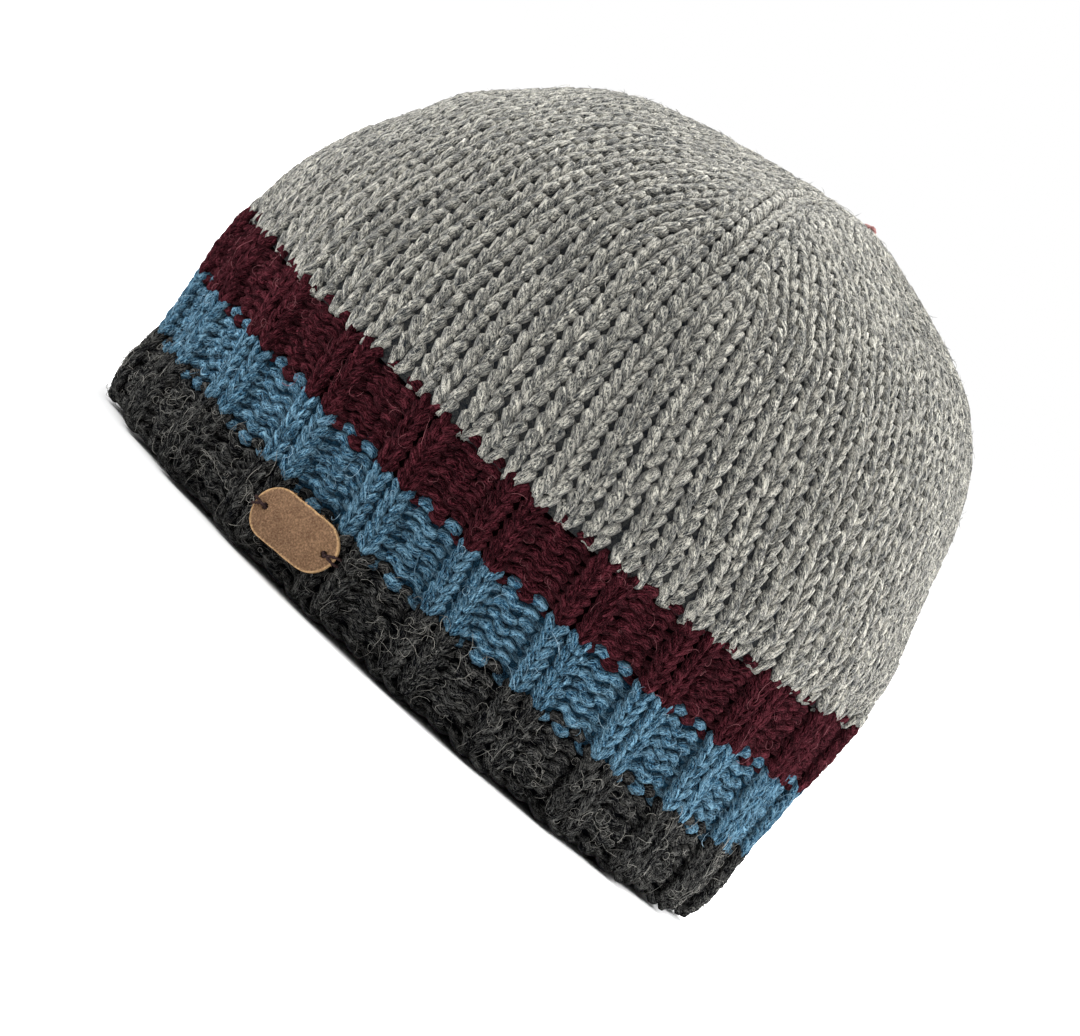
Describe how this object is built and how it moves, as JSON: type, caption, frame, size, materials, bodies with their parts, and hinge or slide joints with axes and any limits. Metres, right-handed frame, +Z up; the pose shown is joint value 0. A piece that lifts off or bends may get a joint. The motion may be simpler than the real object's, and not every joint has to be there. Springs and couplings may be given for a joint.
{
  "type": "ribbed knit beanie",
  "caption": "Close-fitting knit beanie: a striped 2x2 ribbed band knitted in one with a domed stockinette crown, with a small blank leather label sewn near the rim.",
  "frame": {"origin": "middle of the hat's footprint, on the plane that its rim rests on", "axes": "+Z up from the rim to the crown, -Y out of the front, where the label is sewn a little towards -X"},
  "size_m": [0.1884, 0.1886, 0.1507],
  "materials": {
    "charcoal_wool": "fuzzy heathered charcoal wool yarn",
    "blue_wool": "fuzzy slate blue wool yarn",
    "maroon_wool": "fuzzy maroon wool yarn",
    "grey_wool": "fuzzy heathered mid grey wool yarn",
    "tan_leather": "matt tan leather with paler cut edges",
    "brown_thread": "dark brown sewing thread"
  },
  "bodies": {
    "root": {"rim_band_charcoal": "charcoal_wool", "band_blue": "blue_wool", "band_maroon": "maroon_wool", "crown": "grey_wool", "crown_tie": "maroon_wool", "leather_label": "tan_leather", "thread_left": "brown_thread", "thread_right": "brown_thread"}
  },
  "joints": []
}
